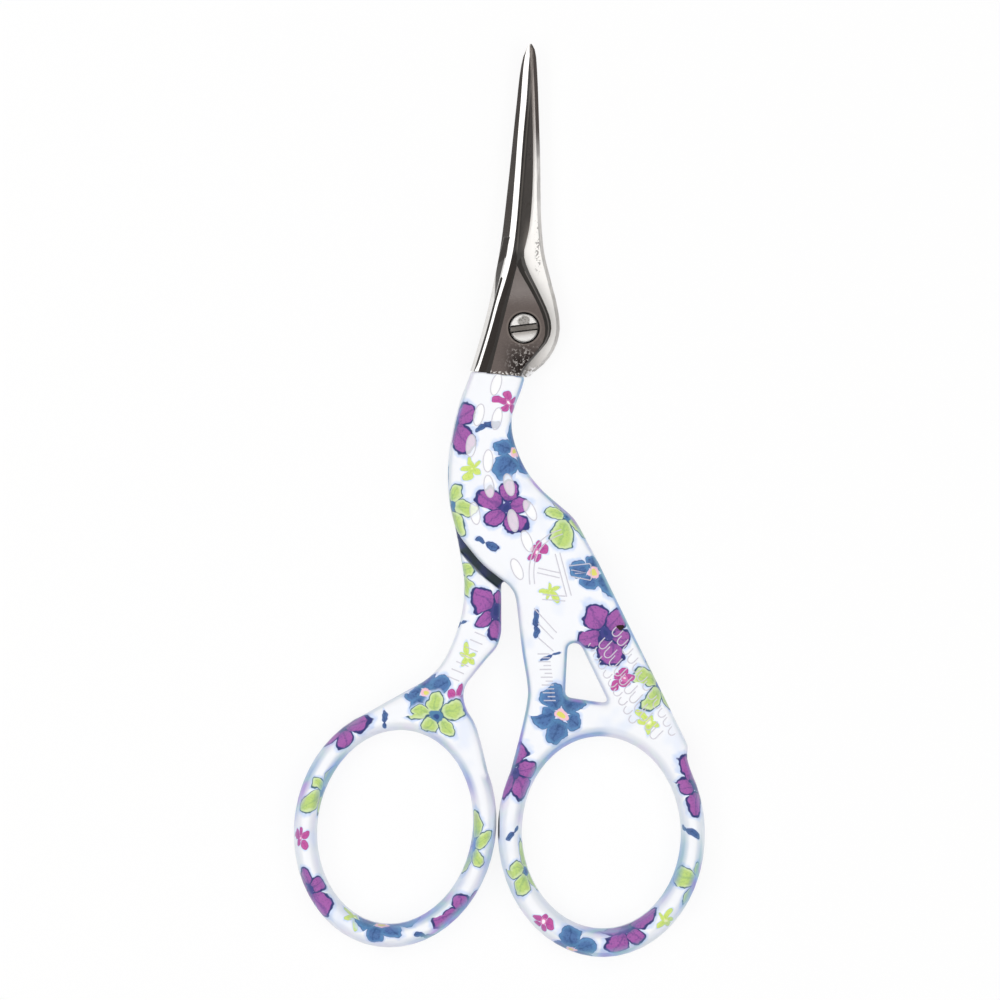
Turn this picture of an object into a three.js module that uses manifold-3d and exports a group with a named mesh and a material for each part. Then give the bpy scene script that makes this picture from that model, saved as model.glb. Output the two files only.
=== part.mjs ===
// Embroidery scissors in the shape of a stork: the blades are the beak, the pivot screw is the eye,
// and the painted handles are the neck, body, legs and tail, each ending in a finger ring.
//
// The closed scissors lie flat on z = 0 with the pivot axis on Z and the tip along +Y, in millimetres.
// Each half is modelled in its own frame, with its inner face on z = 0 and its outer face up.
// The front half is lifted into place and the rear half is turned over underneath it.

import * as THREE from 'three';
import { mergeVertices } from 'three/addons/utils/BufferGeometryUtils.js';
import Module from 'manifold-3d';

const wasm = await Module();
wasm.setup();

// Thickness of the two halves
const halfThickness = 2.05; // inner face to outer face, at the pivot
const runningGap = 0.1; // between the inner faces
const edgeRound = 0.85; // rounding of the painted edges
const edgeSteps = 3;

// Blades, measured from the pivot
const bladeReach = 35.8; // to the tip
const heelReach = 9.8; // to the heel of the cutting edge
const flatReach = 7.9; // to the point of the flat round the screw
const headReach = 5; // to the back of the bird's head, to which the blades' outlines are drawn
const tipThickness = 0.5;
const heelThickness = 1.5;
const edgeLand = 0.05; // blunt height left on the cutting edge
const hollowDepth = 0.22; // hollow grinding of the inner face
const backTilt = 22; // degrees, slope of the bright facet along the back
const sideTilt = 39; // degrees, slope of the facet beside it, which gets steeper along the shank
const flatSink = 0.2; // of the flat round the screw, below the ridge
const wallBelowFlat = 0.5; // drop from the flat to the wall of the shank
const innerChamfer = 0.45; // width of the chamfer along the inside of the spine

// Paint line, where a half turns from bare blade to painted handle
const paintLineDrop = 6.1; // below the pivot
const paintLineTilt = 6.2; // degrees
const seamGap = 0.02;

// Tang of the blade in its socket in the handle
const tangLength = 8.5;
const tangRootDepth = 1.2; // overlap of the tang and the blade that it grows from
const tangRootWidth = 2.6;
const tangEndWidth = 1.8;
const tangOffset = 3.4; // from the pivot to the tang's middle, at the paint line
const tangLean = 12; // degrees, along the neck
const socketWall = 0.5;
const tangClearance = 0.08;

// Pivot screw, a shouldered screw with a slotted head
const headDiameter = 3.6;
const headSink = 0.85; // depth of the counterbore
const headDome = 0.14;
const headClearance = 0.18;
const slotWidth = 0.95;
const slotDepth = 0.42;
const slotAngle = 7; // degrees
const shoulderDiameter = 2.4;
const shoulderClearance = 0.06;
const threadDiameter = 2;
const threadClearance = 0.05;
const seatClearance = 0.03;
const threadLead = 0.2; // chamfer at the screw's end, which is level with the back

// Finger rings
const stopOffset = 3.38; // from the pivot to the line where the closed rings meet
const closedGap = 0.14;
const frontHoleHalfWidth = 10;
const frontHoleHalfHeight = 12.1;
const frontSideWall = 3.05;
const frontEndWall = 3.6;
const frontRingDrop = 63.45;
const frontRingLean = 1.7; // degrees
const rearHoleHalfWidth = 9.75;
const rearHoleHalfHeight = 12.25;
const rearSideWall = 2.95;
const rearEndWall = 2.98;
const rearRingDrop = 62.75;
const rearRingLean = 8.8; // degrees

// Body and legs
const swingRadius = 32; // reach of the rear body, which swings behind the front one
const swingClearance = 0.4;
const stepClearance = 1.1; // from the front body's edge to the step in the rear leg
const bodyReach = 10; // half the width of the bird, to which the handles' outlines are drawn
const legTopDrop = 33.7; // from the pivot to the fork between the legs
const forkWidth = 1.75; // between the legs
const fretRound = 0.7; // corners of the opening between leg and tail
const neckStart = 1.2; // the outlines run up past the paint line, where they are cut

// Facets
const ringSteps = 52;
const ringSides = 12;
const boreSteps = 40;

const ringThickness = 2 * halfThickness + runningGap;
const innerLift = halfThickness + runningGap; // from the table to the front half's inner face
const cutReach = frontRingDrop; // half size of the cutting blocks, beyond what they cut

const steel = new THREE.MeshStandardMaterial({ color: 0xb9bbbd, roughness: 0.2, metalness: 1 });
const nickel = new THREE.MeshStandardMaterial({ color: 0xc9c7c2, roughness: 0.16, metalness: 1 });
const lacquer = new THREE.MeshStandardMaterial({ color: 0xf4f1f4, roughness: 0.18, metalness: 0 });

// Closed meshes to solids for cutting and joining, and back

function solidOf(geometry) {
  const bare = geometry.clone();
  bare.deleteAttribute('normal');
  bare.deleteAttribute('uv');
  const merged = mergeVertices(bare);
  return new wasm.Manifold(new wasm.Mesh({
    numProp: 3,
    vertProperties: new Float32Array(merged.attributes.position.array),
    triVerts: new Uint32Array(merged.index.array),
  }));
}

function geometryOf(solid) {
  const mesh = solid.getMesh();
  const geometry = new THREE.BufferGeometry();
  geometry.setAttribute('position', new THREE.BufferAttribute(mesh.vertProperties, 3));
  geometry.setIndex(new THREE.BufferAttribute(mesh.triVerts, 1));
  geometry.computeVertexNormals();
  return geometry;
}

// Curves and sections

const points = (pairs) => pairs.map(([x, y]) => new THREE.Vector2(x, y));
const pairsOf = (places) => places.map((place) => place.toArray());

// A value that varies along the blade, through a few given stations
function rail(stations, unit = 1) {
  const places = stations.map(([y]) => y);
  const values = stations.map(([, value]) => value * unit);
  const curve = new THREE.CubicInterpolant(places, values, 1);
  return (y) => curve.evaluate(y)[0];
}

// Stations along a blade: 0 at the pivot, -1 at the paint line, 1 at the heel and 2 at the tip
function station(share) {
  if (share < 0) return share * paintLineDrop;
  if (share < 1) return share * heelReach;
  return THREE.MathUtils.lerp(heelReach, bladeReach, share - 1);
}

const stationed = (pairs) => pairs.map(([share, value]) => [station(share), value]);

// A skin over rings of points, closed into a loop or capped at both ends
function loft(rings, isLoop) {
  const count = rings[0].length;
  const indices = [];
  const spans = isLoop ? rings.length : rings.length - 1;
  for (let i = 0; i < spans; i += 1) {
    const near = i * count;
    const far = ((i + 1) % rings.length) * count;
    for (let j = 0; j < count; j += 1) {
      const next = (j + 1) % count;
      indices.push(near + j, near + next, far + next);
      indices.push(near + j, far + next, far + j);
    }
  }
  if (!isLoop) {
    for (const end of [0, rings.length - 1]) {
      const outline = rings[end].map((p) => new THREE.Vector2(p.x, p.z));
      for (const [a, b, c] of THREE.ShapeUtils.triangulateShape(outline, [])) {
        const face = end === 0 ? [a, b, c] : [c, b, a];
        indices.push(...face.map((corner) => corner + end * count));
      }
    }
  }
  const geometry = new THREE.BufferGeometry().setFromPoints(rings.flat());
  geometry.setIndex(indices);
  return geometry;
}

// Blades

// Widths of the ground facets, from the spine inwards, and of the bevel along the shank
const sideFacet = rail(stationed([
  [-1, 0.105], [0, 0.118], [0.3, 0.125], [0.7, 0.176], [1, 0.19], [1.5, 0.126], [1.9, 0.06], [1.95, 0.034],
  [2, 0.008],
]), headReach);
const backFacet = rail(stationed([
  [0, 0.1], [0.3, 0.106], [0.6, 0.124], [1, 0.138], [1.5, 0.13], [1.9, 0.125], [1.95, 0.104], [2, 0.008],
]), headReach);
const shankFacet = rail([
  [-paintLineDrop, 0.19], [0, 0.17], [flatReach / 4, 0.14], [flatReach / 2, 0.136], [flatReach, 0.15],
], headReach);
const shankBevel = rail([
  [-paintLineDrop, 0.06], [-paintLineDrop / 2, 0.08], [0, 0.16], [flatReach / 2, 0.19], [flatReach, 0.25],
], headReach);
const bladeThickness = rail([
  [0, halfThickness], [flatReach / 2, halfThickness], [heelReach, heelThickness], [bladeReach, tipThickness],
]);

// Spine and working edge of each blade, seen from its own outer side
const frontSpine = rail(stationed([
  [-1.5, -1.59], [-1, -1.396], [-0.5, -1.206], [0, -1.03], [0.3, -0.882], [0.6, -0.756], [1, -0.604],
  [1.3, -0.41], [1.7, -0.19], [1.9, -0.063], [1.95, 0.004], [1.975, 0.057], [2, 0.126],
]), headReach);
const frontEdge = rail(stationed([
  [-1.5, -0.186], [-1, -0.076], [-0.8, 0.054], [-0.54, 0.326], [-0.28, 0.59], [-0.07, 0.684], [0.1, 0.668],
  [0.2, 0.61], [0.36, 0.474], [0.55, 0.294], [0.74, 0.116], [0.94, -0.002], [1.05, 0.07], [1.1, 0.128],
  [1.29, 0.214], [1.53, 0.226], [1.91, 0.162], [2, 0.15],
]), headReach);
const rearSpine = rail(stationed([
  [-1.5, 0.19], [-1.03, -0.084], [-0.74, -0.498], [-0.49, -0.728], [-0.25, -0.852], [0, -0.904],
  [0.3, -0.832], [0.6, -0.684], [1, -0.5], [1.5, -0.4], [1.9, -0.322], [1.95, -0.298], [1.975, -0.268], [2, -0.198],
]), headReach);
const rearEdge = rail(stationed([
  [-1.5, 1.6], [-1, 1.406], [0, 0.98], [0.3, 0.824], [0.56, 0.62], [0.77, 0.374], [1, 0.1],
  [1.1, 0.186], [1.3, 0.17], [1.53, 0.12], [1.91, -0.072], [2, -0.164],
]), headReach);

// Shares of the thickness between which the spine's wall stands
const wallFoot = 0.1;
const wallTop = 0.28;
const leastWall = 0.04;

// One section across a blade: spine wall, side facet, bright back facet, shank flat and bevel,
// working edge and the hollow inner face
function bladeSection(y, spine, edge) {
  const thickness = Math.min(halfThickness, bladeThickness(Math.max(y, 0)));
  const shank = 1 - THREE.MathUtils.smoothstep(y, flatReach, heelReach);
  const wall = 1 - THREE.MathUtils.smoothstep(y, flatReach / 2, heelReach);
  const hollow = THREE.MathUtils.smoothstep(y, flatReach, station(1.2)) * hollowDepth;
  const near = Math.min(y, flatReach);

  const left = spine(y);
  const right = edge(y);
  const side = left + sideFacet(y);
  const back = backFacet(Math.max(y, 0));
  const ridge = side + back;
  const sideHeight = thickness - back * Math.tan(THREE.MathUtils.degToRad(backTilt));
  const sideFoot = THREE.MathUtils.clamp(
    sideHeight - sideFacet(y) * Math.tan(THREE.MathUtils.degToRad(sideTilt)),
    thickness * (wallFoot + leastWall),
    thickness * wallTop,
  );
  const flatHeight = thickness - flatSink;
  const edgeHeight = THREE.MathUtils.lerp(edgeLand, flatHeight - wallBelowFlat, wall);
  const chamfer = Math.min(innerChamfer, (right - left) / 3);

  // Beyond the flat its corners lie spread over the one facet from the ridge to the edge
  const spread = (share, x, z) => new THREE.Vector3(
    THREE.MathUtils.lerp(THREE.MathUtils.lerp(ridge, right, share), x, shank),
    y,
    THREE.MathUtils.lerp(THREE.MathUtils.lerp(thickness, edgeHeight, share), z, shank),
  );
  const flatLeft = ridge + shankFacet(near);
  const flatRight = Math.max(right - shankBevel(near), flatLeft + edgeLand);
  const bevelMiddle = THREE.MathUtils.lerp(flatRight, right, 0.58);

  return [
    new THREE.Vector3(left, y, thickness * wallFoot),
    new THREE.Vector3(left, y, sideFoot),
    new THREE.Vector3(side, y, sideHeight),
    new THREE.Vector3(ridge, y, thickness),
    spread(0.3, flatLeft, flatHeight),
    spread(0.36, flatRight, flatHeight),
    spread(0.7, bevelMiddle, THREE.MathUtils.lerp(flatHeight, edgeHeight, 0.4)),
    new THREE.Vector3(right, y, edgeHeight),
    new THREE.Vector3(right, y, 0),
    new THREE.Vector3((left + right) / 2, y, hollow),
    new THREE.Vector3(left + chamfer, y, 0),
  ];
}

function bladeBlank(spine, edge) {
  const start = station(-1.33); // past the paint line, where the blank is cut
  const sections = [];
  const shankSteps = 20;
  const edgeStations = 20; // closer together at the heel and the tip
  for (let i = 0; i < shankSteps; i += 1) {
    sections.push(bladeSection(THREE.MathUtils.lerp(start, heelReach, i / shankSteps), spine, edge));
  }
  for (let i = 0; i <= edgeStations; i += 1) {
    const share = THREE.MathUtils.smoothstep(i / edgeStations, 0, 1);
    sections.push(bladeSection(station(1 + share), spine, edge));
  }
  return solidOf(loft(sections, false));
}

// Everything below, or above, the paint line; hand is 1 on the front half and -1 on the rear half
function beyondPaintLine(hand, isBelow) {
  const block = new THREE.BoxGeometry(2 * cutReach, 2 * cutReach, cutReach);
  block.translate(0, isBelow ? -cutReach : cutReach - seamGap, 0);
  block.rotateZ(THREE.MathUtils.degToRad(-paintLineTilt * hand));
  block.translate(0, -paintLineDrop, 0);
  return solidOf(block);
}

// The tang, or its socket when it is made larger by the clearance
function tang(hand, grow) {
  const root = tangRootWidth / 2 + grow;
  const end = tangEndWidth / 2 + grow;
  const outline = points([
    [-root, tangRootDepth], [-root, 0], [-end, -tangLength - grow], [end, -tangLength - grow], [root, 0],
    [root, tangRootDepth],
  ]);
  const thickness = halfThickness - 2 * (socketWall + tangClearance) + 2 * grow;
  const shape = new THREE.Shape(outline);
  const tongue = new THREE.ExtrudeGeometry(shape, { depth: thickness, bevelEnabled: false });
  tongue.translate(0, 0, (halfThickness - thickness) / 2);
  tongue.rotateZ(THREE.MathUtils.degToRad(-tangLean * hand));
  const seamRise = tangOffset * Math.tan(THREE.MathUtils.degToRad(paintLineTilt));
  tongue.translate(-tangOffset * hand, seamRise - paintLineDrop, 0);
  return solidOf(tongue);
}

function bore(diameter, bottom, top) {
  const drill = new THREE.CylinderGeometry(diameter / 2, diameter / 2, top - bottom, boreSteps);
  drill.rotateX(Math.PI / 2);
  drill.translate(0, 0, (top + bottom) / 2);
  return solidOf(drill);
}

function makeFrontBlade() {
  const shoulderBore = bore(shoulderDiameter + 2 * shoulderClearance, -halfThickness, 2 * halfThickness);
  const headSeat = halfThickness - flatSink - headSink;
  const headBore = bore(headDiameter + 2 * headClearance, headSeat, 2 * halfThickness);
  return bladeBlank(frontSpine, frontEdge)
    .subtract(beyondPaintLine(1, true))
    .add(tang(1, 0))
    .subtract(shoulderBore)
    .subtract(headBore);
}

function makeRearBlade() {
  return bladeBlank(rearSpine, rearEdge)
    .subtract(beyondPaintLine(-1, true))
    .add(tang(-1, 0))
    .subtract(bore(threadDiameter + 2 * threadClearance, -halfThickness, 2 * halfThickness));
}

// Finger rings

// An ellipse that leans by an angle, with a hole and a wall that is thicker at its ends
function fingerRing(side, drop, halfWidth, halfHeight, sideWall, endWall, lean) {
  const turn = THREE.MathUtils.degToRad(lean);
  const outerWidth = halfWidth + sideWall;
  const outerHeight = halfHeight + endWall;
  const reach = Math.hypot(outerWidth * Math.cos(turn), outerHeight * Math.sin(turn));
  const centre = new THREE.Vector2(side + closedGap / 2 + reach, -drop);
  // depth is 0 on the hole's edge and 1 on the outer edge
  const at = (degrees, depth) => {
    const angle = THREE.MathUtils.degToRad(degrees);
    const local = new THREE.Vector2(
      (halfWidth + sideWall * depth) * Math.cos(angle),
      (halfHeight + endWall * depth) * Math.sin(angle),
    );
    return local.rotateAround(new THREE.Vector2(), turn).add(centre);
  };
  return { at, top: outerHeight - drop };
}

// A round wire bent round the ring, with narrow flats above and below so that it lies still
function ringSolid(ring) {
  const halfStep = Math.PI / ringSides;
  const rings = [];
  for (let i = 0; i < ringSteps; i += 1) {
    const degrees = (i * 360) / ringSteps;
    const section = [];
    for (let j = 0; j < ringSides; j += 1) {
      const angle = (2 * j + 1) * halfStep;
      const across = Math.cos(angle) / Math.cos(halfStep);
      const rise = Math.sin(angle) / Math.cos(halfStep);
      const place = ring.at(degrees, (1 + across) / 2);
      section.push(new THREE.Vector3(place.x, place.y, (rise * ringThickness - runningGap) / 2));
    }
    rings.push(section.reverse());
  }
  return solidOf(loft(rings, true));
}

const frontRing = fingerRing(
  -stopOffset, frontRingDrop, frontHoleHalfWidth, frontHoleHalfHeight, frontSideWall, frontEndWall, frontRingLean,
);
const rearRing = fingerRing(
  stopOffset, rearRingDrop, rearHoleHalfWidth, rearHoleHalfHeight, rearSideWall, rearEndWall, rearRingLean,
);

// Handles

// Outlines are drawn across in shares of bodyReach. Down the body 0 is at the pivot and 1 at the fork
// between the legs; down a leg 0 is at the fork and 1 at the top of that leg's ring.
const bodyPoints = (pairs) => pairs.map(([across, down]) => [across * bodyReach, -down * legTopDrop]);
const legPoints = (pairs, ring) => pairs.map(
  ([across, down]) => [across * bodyReach, THREE.MathUtils.lerp(-legTopDrop, ring.top, down)],
);
const smooth = (pairs, steps) => new THREE.SplineCurve(points(pairs)).getPoints(steps);

function ringArc(ring, from, to, steps) {
  const arc = [];
  for (let i = 0; i <= steps; i += 1) {
    arc.push(ring.at(THREE.MathUtils.lerp(from, to, i / steps), 0.45));
  }
  return arc;
}

// Front body's edge towards the rear leg; the step in that leg follows it
const forkEdge = 0.11; // of the front leg, at the fork
const bodyEdge = bodyPoints([
  [-0.935, 0.641], [-0.85, 0.751], [-0.69, 0.822], [-0.5, 0.887], [-0.31, 0.932], [-0.19, 0.961], [-forkEdge, 1],
]);

function frontOutline() {
  const throat = bodyPoints([[-0.59, 0.107], [-0.685, 0.187], [-0.785, 0.269], [-0.88, 0.38], [-0.94, 0.499]]);
  const leg = legPoints([[-0.075, 0.17], [-0.025, 0.48], [0.04, 0.77], [0.045, 0.93]], frontRing);
  const flare = pairsOf([frontRing.at(132.3, 1.48), frontRing.at(152, 0.96)]);
  const back = bodyPoints([
    [1.105, 0.979], [0.92, 0.866], [0.78, 0.789], [0.64, 0.715], [0.46, 0.665], [0.225, 0.604], [0.03, 0.531],
    [-0.09, 0.454], [-0.15, 0.386], [-0.15, 0.332], [-0.1, 0.282], [-0.03, 0.226], [0.03, 0.163], [0.08, 0.107],
  ]);
  return [
    new THREE.Vector2(-0.51 * bodyReach, -neckStart),
    ...smooth([...throat, ...bodyEdge, ...leg, ...flare], 64),
    ...ringArc(frontRing, 148, 28, 14),
    frontRing.at(26, 0.96),
    frontRing.at(34.1, 1.09),
    frontRing.at(38.3, 1.4),
    ...smooth(back, 34),
    new THREE.Vector2(0.13 * bodyReach, -neckStart),
  ];
}

function rearOutline() {
  const throat = bodyPoints([
    [0.6, 0.107], [0.695, 0.187], [0.8, 0.269], [0.895, 0.38], [0.955, 0.499], [0.945, 0.641], [0.86, 0.754],
  ]);
  const leg = legPoints([[0.77, -0.25], [0.75, -0.07], [0.785, 0.17], [0.89, 0.41], [1.02, 0.6]], rearRing);
  const flareOuter = pairsOf([rearRing.at(94.2, 2.31), rearRing.at(84.9, 1.63), rearRing.at(58, 0.97)]);
  const flareInner = pairsOf([
    rearRing.at(148, 0.97), rearRing.at(125.4, 1.55), rearRing.at(116.1, 1.83), rearRing.at(111.5, 2.23),
  ]);
  const fork = forkEdge * bodyReach + forkWidth;
  const inside = legPoints(
    [[0.73, 0.81], [0.65, 0.73], [0.47, 0.57], [0.34, 0.46], [fork / bodyReach, 0.33]], rearRing,
  );
  const arcStart = Math.asin(fork / swingRadius);
  const arcEnd = -0.14;
  const arc = [];
  const arcSteps = 8;
  for (let i = 0; i < arcSteps; i += 1) {
    const angle = THREE.MathUtils.lerp(arcStart, arcEnd, i / arcSteps);
    arc.push(new THREE.Vector2(swingRadius * Math.sin(angle), -swingRadius * Math.cos(angle)));
  }
  // The hidden back of the body: 0 at the end of that arc, 1 at the foot of the neck
  const arcFoot = -swingRadius * Math.cos(arcEnd);
  const neckFoot = 0.454;
  const back = [
    [-0.64, 0.043], [-0.73, 0.147], [-0.7, 0.31], [-0.57, 0.451], [-0.4, 0.548], [-0.17, 0.677], [0.03, 0.835],
  ].map(([across, up]) => [across * bodyReach, THREE.MathUtils.lerp(arcFoot, -neckFoot * legTopDrop, up)]);
  const neck = bodyPoints([
    [0.14, neckFoot], [0.2, 0.386], [0.2, 0.332], [0.15, 0.282], [0.07, 0.223], [0.02, 0.163], [-0.02, 0.107],
  ]);
  return [
    new THREE.Vector2(0.52 * bodyReach, -neckStart),
    ...smooth([...throat, ...leg, ...flareOuter], 48),
    ...ringArc(rearRing, 62, 144, 12),
    ...smooth([...flareInner, ...inside], 30),
    ...arc,
    ...smooth([[swingRadius * Math.sin(arcEnd), arcFoot], ...back, ...neck], 34),
    new THREE.Vector2(-0.07 * bodyReach, -neckStart),
  ];
}

// Opening between the leg, the tail and the ring
function fret() {
  const corners = points(legPoints([[0.55, 0.425], [0.7, 0.415], [1.075, 0.965], [0.515, 0.905]], frontRing));
  const path = new THREE.Path();
  corners.forEach((corner, i) => {
    const before = corners[(i + 3) % 4].clone().sub(corner).setLength(fretRound);
    const after = corners[(i + 1) % 4].clone().sub(corner).setLength(fretRound);
    const enter = corner.clone().add(before);
    const leave = corner.clone().add(after);
    if (i === 0) path.moveTo(enter.x, enter.y);
    else path.lineTo(enter.x, enter.y);
    path.quadraticCurveTo(corner.x, corner.y, leave.x, leave.y);
  });
  return path.getPoints(3);
}

// A flat casting with rounded edges, as thick as the two halves together
function plate(outline, holes) {
  const shape = new THREE.Shape(outline);
  shape.holes = holes.map((hole) => new THREE.Path(hole));
  const body = new THREE.ExtrudeGeometry(shape, {
    depth: ringThickness - 2 * edgeRound,
    bevelThickness: edgeRound,
    bevelSize: edgeRound,
    bevelOffset: -edgeRound,
    bevelSegments: edgeSteps,
    curveSegments: 1,
  });
  body.translate(0, 0, edgeRound - innerLift);
  return solidOf(body);
}

// Clears the rear body's swing from under the front body
function frontPocket() {
  return bore(2 * (swingRadius + swingClearance), -2 * innerLift, 0);
}

// Clears the front body from over the rear body, down to the step in the rear leg
function rearPocket() {
  const edge = new THREE.SplineCurve(points(bodyEdge));
  const steps = 14;
  const outline = [];
  for (let i = 0; i <= steps; i += 1) {
    const along = edge.getTangent(i / steps);
    const place = edge.getPoint(i / steps);
    const shifted = place.add(new THREE.Vector2(along.y, -along.x).multiplyScalar(stepClearance));
    outline.push(new THREE.Vector2(-shifted.x, shifted.y));
  }
  const last = outline[steps].y;
  outline.push(...points([[-cutReach, last], [-cutReach, cutReach], [cutReach, cutReach]]));
  outline.push(new THREE.Vector2(cutReach, outline[0].y));
  const shape = new THREE.Shape(outline);
  const block = new THREE.ExtrudeGeometry(shape, { depth: 2 * innerLift, bevelEnabled: false });
  block.translate(0, 0, -2 * innerLift);
  return solidOf(block);
}

function makeFrontHandle() {
  return plate(frontOutline(), [fret()])
    .subtract(frontPocket())
    .add(ringSolid(frontRing))
    .subtract(beyondPaintLine(1, false))
    .subtract(tang(1, tangClearance));
}

function makeRearHandle() {
  return plate(rearOutline(), [])
    .subtract(rearPocket())
    .add(ringSolid(rearRing))
    .subtract(beyondPaintLine(-1, false))
    .subtract(tang(-1, tangClearance));
}

// Pivot screw, in the assembly's own frame

function makePivotScrew() {
  const rim = innerLift + halfThickness - flatSink;
  const seat = rim - headSink + seatClearance;
  const shoulderEnd = halfThickness + seatClearance;
  const head = headDiameter / 2;
  const thread = threadDiameter / 2;
  const shoulder = shoulderDiameter / 2;
  const profile = points([
    [0, 0], [thread - threadLead, 0], [thread, threadLead], [thread, shoulderEnd],
    [shoulder, shoulderEnd], [shoulder, seat], [head, seat], [head, rim - headDome],
    [head * 0.94, rim - headDome * 0.35], [head * 0.7, rim + headDome * 0.35], [head * 0.4, rim + headDome * 0.8],
    [0, rim + headDome],
  ]);
  const turned = new THREE.LatheGeometry(profile, boreSteps);
  turned.rotateX(Math.PI / 2);
  const slot = new THREE.BoxGeometry(2 * headDiameter, slotWidth, 2 * slotDepth);
  slot.translate(0, 0, rim + headDome);
  slot.rotateZ(THREE.MathUtils.degToRad(slotAngle));
  return solidOf(turned).subtract(solidOf(slot));
}

// Assembly

function piece(name, solid, material) {
  const mesh = new THREE.Mesh(geometryOf(solid), material);
  mesh.name = name;
  return mesh;
}

const frontHalf = new THREE.Group();
frontHalf.position.z = innerLift;
frontHalf.add(piece('front_blade', makeFrontBlade(), steel));
frontHalf.add(piece('front_handle', makeFrontHandle(), lacquer));

const rearHalf = new THREE.Group();
rearHalf.position.z = halfThickness;
rearHalf.rotation.y = Math.PI;
rearHalf.add(piece('rear_blade', makeRearBlade(), steel));
rearHalf.add(piece('rear_handle', makeRearHandle(), lacquer));

const scissors = new THREE.Group();
scissors.add(frontHalf, rearHalf, piece('pivot_screw', makePivotScrew(), nickel));

export default scissors;
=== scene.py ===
import math

import bpy
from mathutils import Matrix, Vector


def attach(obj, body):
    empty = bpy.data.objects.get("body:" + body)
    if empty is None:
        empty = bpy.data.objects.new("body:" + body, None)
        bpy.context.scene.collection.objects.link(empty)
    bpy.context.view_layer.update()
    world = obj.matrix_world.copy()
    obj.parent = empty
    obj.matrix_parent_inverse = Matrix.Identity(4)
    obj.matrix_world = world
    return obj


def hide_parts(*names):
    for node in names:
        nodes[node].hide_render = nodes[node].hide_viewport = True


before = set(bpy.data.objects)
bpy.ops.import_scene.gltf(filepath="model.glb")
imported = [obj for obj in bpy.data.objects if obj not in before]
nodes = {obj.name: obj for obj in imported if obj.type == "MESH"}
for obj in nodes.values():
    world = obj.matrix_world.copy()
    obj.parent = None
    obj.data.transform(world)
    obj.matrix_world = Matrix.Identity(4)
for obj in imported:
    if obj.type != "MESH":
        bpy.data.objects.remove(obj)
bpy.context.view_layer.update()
mm = 0.001
weld = 1e-6  # m, vertices nearer than this become one
fineWeld = 1e-7
print("frame loaded:", sorted(nodes))


# Shader maths as expressions: a wire is one socket of a node tree
class Wire:
    def __init__(self, tree, socket=None):
        self.tree = tree
        self.socket = socket

    def node(self, kind, settings=None, inputs=None, output=0):
        made = self.tree.nodes.new("ShaderNode" + kind)
        for name, value in (settings or {}).items():
            if name == "stops":
                self.setStops(made.color_ramp, value)
            else:
                setattr(made, name, value)
        for name, value in (inputs or {}).items():
            if isinstance(value, Wire):
                self.tree.links.new(value.socket, made.inputs[name])
            else:
                made.inputs[name].default_value = value
        return Wire(self.tree, made.outputs[output])

    def setStops(self, ramp, stops):
        while len(ramp.elements) < len(stops):
            ramp.elements.new(1)
        for element, (place, colour) in zip(ramp.elements, stops):
            element.position = place
            element.color = colour

    def calc(self, operation, first, second=0.0):
        return self.node("Math", {"operation": operation}, {0: first, 1: second})

    def __add__(self, other):
        return self.calc("ADD", self, other)

    def __radd__(self, other):
        return self.calc("ADD", other, self)

    def __sub__(self, other):
        return self.calc("SUBTRACT", self, other)

    def __rsub__(self, other):
        return self.calc("SUBTRACT", other, self)

    def __mul__(self, other):
        return self.calc("MULTIPLY", self, other)

    def __rmul__(self, other):
        return self.calc("MULTIPLY", other, self)

    def __truediv__(self, other):
        return self.calc("DIVIDE", self, other)

    def __rtruediv__(self, other):
        return self.calc("DIVIDE", other, self)

    def __lt__(self, other):
        return self.calc("LESS_THAN", self, other)

    def __gt__(self, other):
        return self.calc("GREATER_THAN", self, other)


def tint(code):
    # a written colour such as b04aa5 as linear light
    shares = [int(code[i:i + 2], 16) / 255 for i in (0, 2, 4)]
    return (*[s / 12.92 if s <= 0.04045 else ((s + 0.055) / 1.055) ** 2.4 for s in shares], 1)


def ease(value, start, end):
    # 0 at start, 1 at end, smooth between them
    return value.node("MapRange", {"interpolation_type": "SMOOTHSTEP"},
                      {"Value": value, "From Min": start, "From Max": end})


def blendColour(share, first, second):
    source = share if isinstance(share, Wire) else first
    return source.node("Mix", {"data_type": "RGBA"}, {0: share, 6: first, 7: second}, output=2)


def split(vector):
    return [vector.node("SeparateXYZ", {}, {0: vector}, output=axis) for axis in range(3)]


def newMaterial(name):
    material = bpy.data.materials.new(name)
    material.use_nodes = True
    return material, Wire(material.node_tree), material.node_tree.nodes["Principled BSDF"]


def plug(shader, name, wire):
    wire.tree.links.new(wire.socket, shader.inputs[name])


def vectorMath(operation, first, second):
    return first.node("VectorMath", {"operation": operation}, {0: first, 1: second})


def scaled(vector, share):
    return vector.node("VectorMath", {"operation": "SCALE"}, {0: vector, "Scale": share})


def lengthOf(vector):
    return vector.node("VectorMath", {"operation": "LENGTH"}, {0: vector}, output="Value")


def absolute(value):
    return value.calc("ABSOLUTE", value)


def placeInMm(wire):
    return scaled(wire.node("TexCoord", {}, {}, output="Object"), 1 / mm)


def dab(colour, share, code):
    return blendColour(share, colour, tint(code))


def marked(colour, share, mark):
    # a mark has a colour, and is laid on with its own share
    return dab(colour, share * mark["share"], mark["colour"])


def window(value, limits):
    # 1 where every pair of soft limits lets the value through
    share = ease(value, *limits[0])
    for limit in limits[1:]:
        share = share * ease(value, *limit)
    return share


def noise(place, scale, detail=2.0, roughness=0.5):
    settings = {"Scale": scale, "Detail": detail, "Roughness": roughness}
    return place.node("TexNoise", {}, {"Vector": place, **settings})


def speckle(place, mark):
    # noise cut off softly between the mark's limits
    return ease(noise(place, *mark["noise"]), *mark["limits"])


def ripple(place, settings, reach):
    # noise about zero
    return (noise(place, *settings) - 0.5) * reach


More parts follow.
